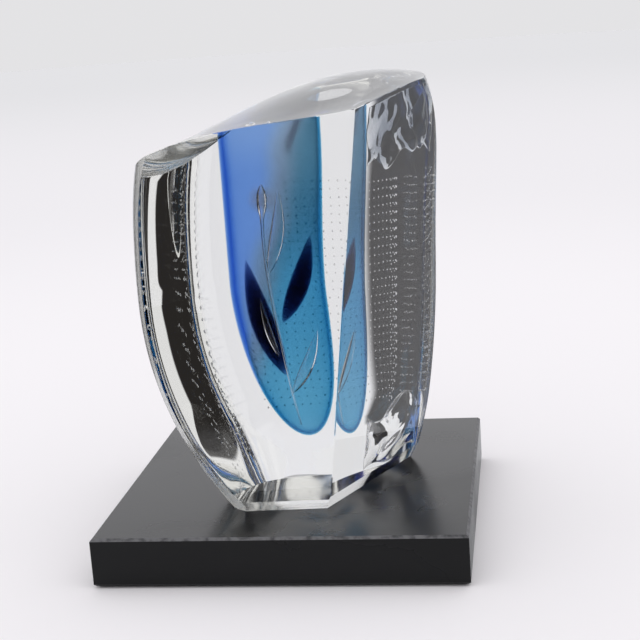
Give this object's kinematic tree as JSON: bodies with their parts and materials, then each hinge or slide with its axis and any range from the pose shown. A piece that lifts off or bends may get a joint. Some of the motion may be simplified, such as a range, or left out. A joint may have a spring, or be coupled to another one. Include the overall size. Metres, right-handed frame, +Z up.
{
  "type": "glass sculpture on a plinth",
  "caption": "Cut crystal block with a blue to teal core, dark leaf inclusions and fine air bubbles, standing on a black square plinth.",
  "frame": {"origin": "middle of the plinth's footprint, on the surface that it stands on", "axes": "+Z up, -Y toward the front of the plinth, +X to the right as seen from the front"},
  "size_m": [0.2, 0.2, 0.2549],
  "materials": {
    "crystal": "clear polished crystal",
    "cobalt": "transparent cobalt blue overlay",
    "teal": "transparent teal overlay",
    "dark_glass": "near black navy glass",
    "lacquer": "satin black lacquer",
    "felt": "thin black felt"
  },
  "bodies": {
    "plinth": {"plinth": "lacquer", "felt_pad_front_left": "felt", "felt_pad_front_right": "felt", "felt_pad_back_left": "felt", "felt_pad_back_right": "felt"},
    "glass": {"crystal_casing": "crystal", "clear_gather": "crystal", "cobalt_overlay": "cobalt", "teal_overlay": "teal", "core_heart": "crystal", "dark_leaf_long": "dark_glass", "dark_leaf_short": "dark_glass"}
  },
  "joints": [
    {"name": "glass_lift", "type": "slide", "parent": "plinth", "child": "glass", "axis": [0, 0, 1], "range_m": [0, 0.06]}
  ]
}
